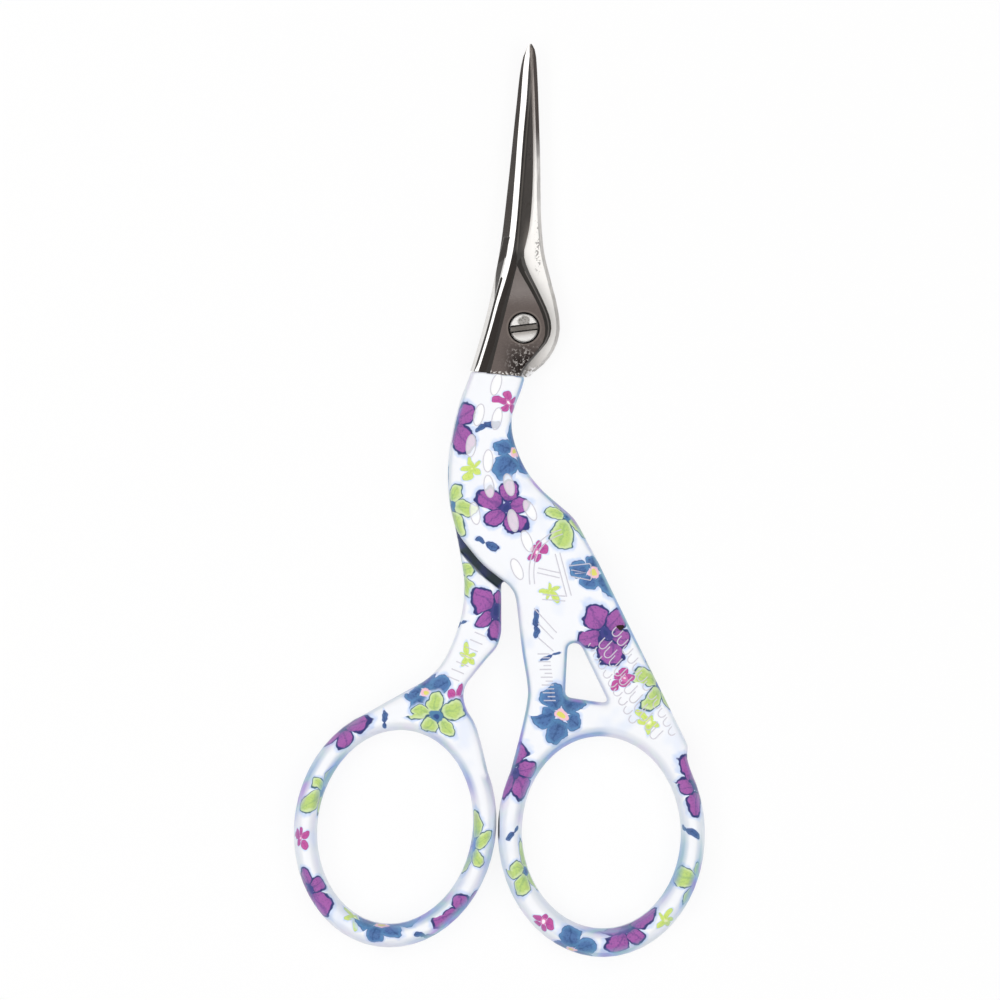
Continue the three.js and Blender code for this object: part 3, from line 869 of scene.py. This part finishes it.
rearPrint = {
    "sheets": [-47.0],
    "backShift": (-1.2, 1.6, 0),
    "ring": {"centre": (-16.2, -62.75), "reach": (11.2, 13.7)},
    "flat": [
        ("lime", -8.9, -30.9, 3.5, 0.2), ("plum", -3.6, -35.6, 3.6, 0.5), ("leaf", -8.0, -36.9, 1.5, 0.4),
        ("star", -7.0, -41.2, 1.4, 0.1), ("blue", -12.2, -45.6, 3.0, 0.1), ("sprig", -8.0, -46.4, 1.6, 0.4),
        ("plum", -6.6, -9.9, 3.3, 0.3), ("star", -4.6, -14.2, 1.5, 0.2), ("blue", -9.2, -17.6, 3.2, 0.1),
        ("lime", -3.0, -20.4, 3.5, 0.5), ("sprig", -7.4, -24.2, 1.6, 0.2), ("plum", 1.8, -25.6, 3.4, 0.8),
    ],
    "round": [
        ("lime", 66, 1.7, 3.7, 0.2), ("leaf", 97, -0.7, 1.6, 0.0), ("plum", 124, 1.9, 3.8, 0.5),
        ("lime", 160, -2.0, 3.7, 0.7), ("sprig", 184, 0.9, 1.6, 0.2), ("plum", 211, 2.0, 3.8, 0.1),
        ("star", 241, -0.7, 1.5, 0.8), ("blue", 262, -1.9, 3.7, 0.2), ("leaf", 290, 0.9, 1.6, 0.6),
        ("plum", 314, 1.9, 3.7, 0.9), ("lime", 350, -1.6, 3.6, 0.3),
    ],
}
wear = [(12.1, -37.6, 0.42), (-3.64, -30.8, 0.16)]  # chips in the front handle's paint: place and radius


def layOut(design):
    layout = list(design["flat"])
    centreX, centreY = design["ring"]["centre"]
    reachX, reachY = design["ring"]["reach"]
    for kind, degrees, outwards, radius, turn in design["round"]:
        angle = math.radians(degrees)
        x = centreX + (reachX + outwards) * math.cos(angle)
        y = centreY + (reachY + outwards) * math.sin(angle)
        layout.append((kind, x, y, radius, turn))
    return layout


def printHandle(handle, name, design, finishing):
    limits = design["sheets"]
    for polygon in handle.data.polygons:
        polygon.material_index = sum(polygon.center.y / mm < limit for limit in limits)
    layout = layOut(design)
    spare = lacquer["overlap"] + abs(design["backShift"][1])
    for i, (top, bottom) in enumerate(zip([math.inf, *limits], [*limits, -math.inf])):
        kept = [motif for motif in layout if bottom - spare < motif[2] < top + spare]
        material, shader, place, colour = paintMaterial(name + str(i + 1), kept, design["backShift"])
        handle.data.materials.append(finishPaint(material, shader, place, finishing(place, colour)))
        print(name, i + 1, "has", len(kept), "flowers")


def chipsAndContactShadow(place, colour):
    # small ragged chips, and painted shadow where the two rings meet
    chip, contactShadow = lacquer["chip"], lacquer["contactShadow"]
    for x, y, radius in wear:
        offset = vectorMath("SUBTRACT", place, (x, y, carving["top"]))
        ragged = lengthOf(offset) + ripple(place, chip["noise"], radius * chip["ragged"])
        colour = dab(colour, ease(ragged, radius, radius * chip["soft"]), chip["colour"])
    x, y, _ = split(place)
    share = ease(x, *contactShadow["x"]) * ease(absolute(y - contactShadow["y"]), *contactShadow["reach"])
    return marked(colour, share, contactShadow)


printHandle(frontHandle, "frontLacquer", frontPrint, chipsAndContactShadow)
printHandle(rearHandle, "rearLacquer", rearPrint, paintedStepShade)
print("lacquer printed")

# Steel: one recipe for every finish, with grinding lines, smears and roughness of its own
steel = {
    "plain": {"shade": 0.8, "relief": 0.15},  # what a finish has unless it gives its own
    "polished": {"colour": (0.84, 0.82, 0.80), "metallic": 1.0, "roughness": 0.1, "lines": (2, 10, 2)},
    # ground: the inner face is painted near white and not metallic as a painted reflection of bright light,
    # and darkens towards the tip as painted reflection
    "ground": {
        "colour": (0.99, 0.97, 0.94), "metallic": 0.0, "roughness": 0.42, "lines": (1, 18, 1),
        "shade": 0.95, "relief": 0.4, "tip": {"y": (17.0, 29.0), "colour": "b0a8a2"},
    },
    # the dark facets: a duller grind, drawn near black as painted dark reflection
    "dull": {
        "colour": (0.045, 0.041, 0.038), "metallic": 0.2, "roughness": 0.3, "lines": (9, 2, 9),
        "relief": 0.3,
    },
    "flat": {"colour": (0.56, 0.51, 0.49), "metallic": 1.0, "roughness": 0.2, "lines": (3, 5, 3)},
    # painted shadow: near black on the counterbore's walls and floor and on the screw's slot walls
    "recess": {"colour": (0.02, 0.018, 0.017), "metallic": 0.4, "roughness": 0.5, "lines": (4, 4, 4)},
    # chamfer: its tip darkens as painted reflection
    "chamfer": {
        "colour": (0.72, 0.70, 0.68), "metallic": 0.1, "roughness": 0.4, "lines": (7, 0.5, 7),
        "shade": 0.55, "relief": 0.3, "tip": {"y": (19.5, 25.5), "colour": "4a4340"},
    },
    # the light line's finish: a painted highlight along the crease
    "worn": {"colour": (0.2, 0.185, 0.175), "metallic": 0.3, "roughness": 0.4, "lines": (2, 9, 2)},
    "nickel": {
        "colour": (0.97, 0.95, 0.92), "metallic": 0.15, "roughness": 0.28, "lines": (5, 5, 5),
        "shade": 0.9,
    },
    # slot: painted shade on the slot's floor
    "slot": {
        "colour": (0.3, 0.275, 0.25), "metallic": 0.4, "roughness": 0.4, "lines": (3, 14, 3),
        "shade": 0.5,
    },
    "grain": (1.0, 3, 0.6),
    "smear": (0.35, 3),
    "toneLimits": (0.3, 0.7),
    "roughSwing": 0.5,  # share of a finish's roughness by which it varies
    "reliefDepth": 0.01,
    "paintLine": {"y": -6.1, "tilt": 6.2},
}


def steelMaterial(name):
    finish = {**steel["plain"], **steel[name]}
    material, wire, shader = newMaterial(name + "Steel")
    place = placeInMm(wire)
    lines = place.node("Mapping", {}, {"Vector": place, "Scale": finish["lines"]})
    grain = noise(lines, *steel["grain"])
    smear = noise(place, *steel["smear"])
    bright = (*finish["colour"], 1)
    dark = (*[c * finish["shade"] for c in finish["colour"]], 1)
    colour = blendColour(ease(grain * 0.5 + smear * 0.5, *steel["toneLimits"]), dark, bright)
    # painted reflection: darker towards the tip
    if "tip" in finish:
        colour = dab(colour, ease(split(place)[1], *finish["tip"]["y"]), finish["tip"]["colour"])
    metallic = None
    if name in finishMarks:
        colour, metallic = finishMarks[name](place, colour)
    plug(shader, "Base Color", colour)
    shader.inputs["Metallic"].default_value = finish["metallic"]
    if metallic:
        plug(shader, "Metallic", metallic)
    uneven = smear + grain * 0.5 - 0.75  # about zero
    plug(shader, "Roughness", uneven * (finish["roughness"] * steel["roughSwing"]) + finish["roughness"])
    relief = {"Strength": finish["relief"], "Distance": steel["reliefDepth"] * mm}
    plug(shader, "Normal", grain.node("Bump", {}, {**relief, "Height": grain}))
    return material


def abovePaint(place):
    # height above the paint line, in mm
    x, y, _ = split(place)
    turn = math.radians(steel["paintLine"]["tilt"])
    return (y - steel["paintLine"]["y"]) * math.cos(turn) + x * math.sin(turn)


def span(place, x, y):
    # distance from a point as seen from the front, in mm
    offset = vectorMath("SUBTRACT", place, (x, y, 0))
    return lengthOf(vectorMath("MULTIPLY", offset, (1, 1, 0)))


def unevenTone(place, tone):
    return noise(place, *tone["noise"]) * tone["spread"] + tone["least"]


# The flat round the screw: stained towards the paint line, with pale pits, most of them on the right,
# flecks of paint, a paler ring round the counterbore and a painted shadow ring at its edge
flatMarks = {
    "front": (2.5, 3.0),
    "top": {"y": (2.4, 7.0), "share": 0.85, "colour": "6b635f"},
    "stain": {"height": (5.2, 1.8), "x": (-3.2, -0.6), "colour": "2e2a29"},
    "tone": {"noise": (0.8, 3), "spread": 0.6, "least": 0.55},
    "lip": {"limits": [(2.0, 2.06), (2.24, 2.14)], "share": 0.55, "colour": "e6dfd8"},
    # painted shadow in the gap round the screw head
    "rim": {"limits": (2.02, 1.96), "colour": "0c0b0a"},
    "pits": {"noise": (2.7, 3, 0.7), "limits": (0.54, 0.6), "share": 0.85},
    "pitted": {"height": (5.6, 1.2), "x": (-3.4, 0.4)},
    "flecks": {"noise": (3.4, 2), "limits": (0.5, 0.58), "height": (0.55, 0.1)},
    "pale": {"colour": "e8e4e0", "dulling": 0.8},
}


def pittedFlat(place, colour):
    x, y, z = split(place)
    height = abovePaint(place)
    front = ease(z, *flatMarks["front"])
    top, lip, rim = flatMarks["top"], flatMarks["lip"], flatMarks["rim"]
    topShare = ease(y, *top["y"]) * front * top["share"]
    colour = dab(colour, topShare, top["colour"])
    stain = flatMarks["stain"]
    stained = ease(height, *stain["height"]) * ease(x, *stain["x"])
    colour = dab(colour, stained * unevenTone(place, flatMarks["tone"]), stain["colour"])
    around = span(place, 0, 0)
    colour = marked(colour, window(around, lip["limits"]) * front, lip)
    colour = dab(colour, ease(around, *rim["limits"]) * front, rim["colour"])
    pits, pitted, flecks = flatMarks["pits"], flatMarks["pitted"], flatMarks["flecks"]
    inPits = speckle(place, pits) * ease(height, *pitted["height"]) * ease(x, *pitted["x"])
    inFlecks = speckle(place, flecks) * ease(height, *flecks["height"])
    share = inPits * pits["share"] + inFlecks
    share = share.calc("MINIMUM", share, 1.0)
    pale = flatMarks["pale"]
    return dab(colour, share, pale["colour"]), (1.0 - share * pale["dulling"]) * (1.0 - topShare)


# The dark facet, painted reflection: above the knee it has a pale highlight line near its left edge and
# gets paler towards the right
facetMarks = {
    "y": (9.0, 10.5),
    "z": (2.05, 2.15),
    "line": {"x": -1.668, "slope": 0.0815, "limits": (0.16, 0.04), "share": 0.8, "colour": "69645f"},
    "tone": {"noise": (2.6, 3, 0.7), "spread": 0.9, "least": 0.45},
    "mottle": {"beyond": (0.1, 0.35), "colour": "514d4a"},
    "foot": {"y": (14.5, 10.5), "beyond": (0.35, 1.3), "share": 0.8, "colour": "88827d"},
}


def paintedFacetReflection(place, colour):
    x, y, z = split(place)
    line, mottle, foot = facetMarks["line"], facetMarks["mottle"], facetMarks["foot"]
    above = ease(y, *facetMarks["y"]) * ease(z, *facetMarks["z"])
    beyond = x - y * line["slope"] - line["x"]
    mottled = ease(beyond, *mottle["beyond"]) * above * unevenTone(place, facetMarks["tone"])
    colour = dab(colour, mottled, mottle["colour"])
    inFoot = ease(y, *foot["y"]) * ease(beyond, *foot["beyond"])
    colour = marked(colour, inFoot * above, foot)
    return marked(colour, ease(absolute(beyond), *line["limits"]) * above, line), None


# The side facet: painted dark reflection runs out in a wedge along the edge of the flat
kneeMarks = {
    "edge": {"x": -3.33, "y": 4.78, "slope": 0.249},
    "wedge": {"y": (2.2, 8.4), "width": 0.85, "soft": (0.06, -0.06)},
    "fromEdge": (0.05, 0.12),
    "y": [(2.2, 3.2), (11.5, 11.42)],
    "z": (2.0, 2.2),
    "colour": "484543",
    "dulling": 0.9,
}


def kneeShade(place, colour):
    x, y, z = split(place)
    edge, wedge = kneeMarks["edge"], kneeMarks["wedge"]
    fromEdge = (y - edge["y"]) * edge["slope"] + edge["x"] - x
    reach = ease(y, *wedge["y"]) * wedge["width"]
    share = ease(fromEdge - reach, *wedge["soft"]) * ease(fromEdge, *kneeMarks["fromEdge"])
    share = share * window(y, kneeMarks["y"]) * ease(z, *kneeMarks["z"])
    return dab(colour, share, kneeMarks["colour"]), 1.0 - share * kneeMarks["dulling"]


# The screw's head: painted shade darkens its lower half towards the slot, and a spotted patch of painted
# dark reflection lies above it
eyeMarks = {
    "lower": {"across": [(-1.35, -0.45), (0.3, 0.0)], "share": 0.75, "colour": "8d857e"},
    "patch": {"place": (0.05, 0.85), "noise": (1.8, 2), "ragged": 0.5},
    "dull": {"reach": (0.85, 0.6), "share": 0.8, "colour": "8f8b86"},
    "dots": {"noise": (4.0, 2), "limits": (0.53, 0.6), "share": 0.7, "colour": "4b4642"},
    "dotReach": (0.8, 0.5),
}


def eyeShadeAndReflection(place, colour):
    x, y, _ = split(place)
    lower, patch, dull, dots = [eyeMarks[name] for name in ("lower", "patch", "dull", "dots")]
    turn = math.radians(screwShape["slotAngle"])
    across = y * math.cos(turn) - x * math.sin(turn)
    colour = marked(colour, window(across, lower["across"]), lower)
    around = span(place, *patch["place"]) + ripple(place, patch["noise"], patch["ragged"])
    colour = marked(colour, ease(around, *dull["reach"]), dull)
    return marked(colour, speckle(place, dots) * ease(around, *eyeMarks["dotReach"]), dots), None


# The inner face: a run of dark pits beside the heel, and stains, specks and flecks of white by the paint
innerMarks = {
    "run": {"x": 1.75, "reach": (0.5, 0.1), "y": [(6.5, 8.0), (15.0, 12.5)]},
    "pits": {"noise": (3.6, 1), "limits": (0.55, 0.63), "share": 0.75, "colour": "5e5652"},
    "stain": {"height": (4.4, 1.2), "share": 0.6, "colour": "a8a29c"},
    "specks": {"noise": (3.2, 3, 0.65), "limits": (0.48, 0.58), "share": 0.8, "colour": "77706a"},
    "speckHeight": (2.0, 0.5),
    "flecks": {"noise": (2.6, 2), "thinning": 0.16, "limits": (0.36, 0.42), "colour": "fbfafa"},
    "fleckHeight": (1.5, 1.1),
}


def innerTones(place, colour):
    x, y, _ = split(place)
    run, pits, stain = innerMarks["run"], innerMarks["pits"], innerMarks["stain"]
    inRun = ease(absolute(x - run["x"]), *run["reach"]) * window(y, run["y"])
    colour = marked(colour, speckle(place, pits) * inRun, pits)
    height = abovePaint(place)
    colour = marked(colour, ease(height, *stain["height"]), stain)
    specks, flecks = innerMarks["specks"], innerMarks["flecks"]
    inSpecks = speckle(place, specks) * ease(height, *innerMarks["speckHeight"])
    colour = marked(colour, inSpecks, specks)
    thinned = noise(place, *flecks["noise"]) - height * flecks["thinning"]
    inFlecks = ease(thinned, *flecks["limits"]) * ease(height, *innerMarks["fleckHeight"])
    return dab(colour, inFlecks, flecks["colour"]), None


finishMarks = {
    "flat": pittedFlat,
    "dull": paintedFacetReflection,
    "polished": kneeShade,
    "nickel": eyeShadeAndReflection,
    "ground": innerTones,
}
for blade in (frontBlade, rearBlade):
    for i, name in enumerate(grinding["finishes"]):
        blade.data.materials[i] = bpy.data.materials.get(name + "Steel") or steelMaterial(name)
for name in screwShape["finishes"]:
    screw.data.materials.append(bpy.data.materials.get(name + "Steel") or steelMaterial(name))
print("metal finished")

# Studio: a pale floor in a dim room, a long soft light on the left and fill that metal doesn't mirror
studio = {
    "floorSize": 8.0,
    "floorHeight": -0.00005,
    "floorNoise": (0.02, 2),
    "floorTones": ("fbfbfb", "fdfdfd"),
    "floorRoughness": 0.9,
    "floorSpecular": 0.1,
    "floorWhite": "fefefe",
    "floorGlow": 0.88,  # share of the floor's white that doesn't hang on the lamps
    "lampTarget": (0, -0.02, 0),
    "lamps": [  # name, place and size in metres, radiance, and whether metal mirrors it
        ("leftSoftbox", (-0.44, -0.02, 0.45), (1.5, 0.26), 1.68, True),
        ("topFill", (0.0, -0.02, 1.3), (2.4, 2.4), 1.22, False),
        ("rightFill", (0.8, -0.1, 0.6), (1.6, 0.9), 0.84, False),
    ],
    "roomTone": (0.052, 0.046, 0.043),
    "horizon": {"tone": (0.12, 0.112, 0.108), "limits": (0.6, 0.0)},
    "overhead": {"tone": (0.31, 0.28, 0.268), "limits": (0.965, 0.99)},
    "lookAt": (-3.016, -21.617),
    "lookHeight": 3.5,
    "frameWidth": 125.68,
    "distance": 0.9,
    "sensorWidth": 36,
}


def addSoftbox(name, place, size, radiance, isMirrored):
    bpy.ops.object.light_add(type="AREA", location=place)
    lamp = bpy.context.object
    lamp.name = name
    lamp.data.shape = "RECTANGLE"
    lamp.data.size, lamp.data.size_y = size
    lamp.data.energy = radiance * math.pi * size[0] * size[1]
    lamp.visible_glossy = isMirrored
    lamp.visible_camera = False
    aim = Vector(studio["lampTarget"]) - lamp.location
    lamp.rotation_euler = aim.to_track_quat("-Z", "Y").to_euler()


bpy.ops.mesh.primitive_plane_add(size=studio["floorSize"], location=(0, 0, studio["floorHeight"]))
floor = bpy.context.object
floor.name = "floor"
floorMaterial, floorWire, floorShader = newMaterial("paleFloor")
floorNoise = noise(placeInMm(floorWire), *studio["floorNoise"])
floorTones = [tint(code) for code in studio["floorTones"]]
plug(floorShader, "Base Color", blendColour(floorNoise, *floorTones))
floorShader.inputs["Roughness"].default_value = studio["floorRoughness"]
floorShader.inputs["Specular IOR Level"].default_value = studio["floorSpecular"]
rays = ("Is Camera Ray", "Is Glossy Ray", "Is Transmission Ray")
paths = [floorWire.node("LightPath", {}, {}, output=ray) for ray in rays]
seen = paths[0].calc("MAXIMUM", paths[0].calc("MAXIMUM", paths[0], paths[1]), paths[2])
glow = floorWire.node("Emission", {}, {"Color": tint(studio["floorWhite"])})
lit = Wire(floorMaterial.node_tree, floorShader.outputs["BSDF"])
floorLook = floorWire.node("MixShader", {}, {0: seen * studio["floorGlow"], 1: lit, 2: glow})
plug(floorMaterial.node_tree.nodes["Material Output"], "Surface", floorLook)
floor.data.materials.append(floorMaterial)

for lamp in studio["lamps"]:
    addSoftbox(*lamp)

world = bpy.data.worlds.new("studio")
bpy.context.scene.world = world
world.use_nodes = True
worldWire = Wire(world.node_tree)
upward = split(worldWire.node("TexCoord", {}, {}, output="Generated"))[2]
room = (*studio["roomTone"], 1)
for part in (studio["horizon"], studio["overhead"]):
    room = blendColour(ease(upward, *part["limits"]), room, (*part["tone"], 1))
plug(world.node_tree.nodes["Background"], "Color", room)

lookX, lookY = studio["lookAt"]
eyeHeight = studio["distance"] + studio["lookHeight"] * mm
bpy.ops.object.camera_add(location=(lookX * mm, lookY * mm, eyeHeight), rotation=(0, 0, 0))
camera = bpy.context.object
camera.data.sensor_width = studio["sensorWidth"]
camera.data.lens = studio["sensorWidth"] * studio["distance"] / (studio["frameWidth"] * mm)
bpy.context.scene.camera = camera
bpy.context.scene.view_settings.view_transform = "Standard"
print("studio set")
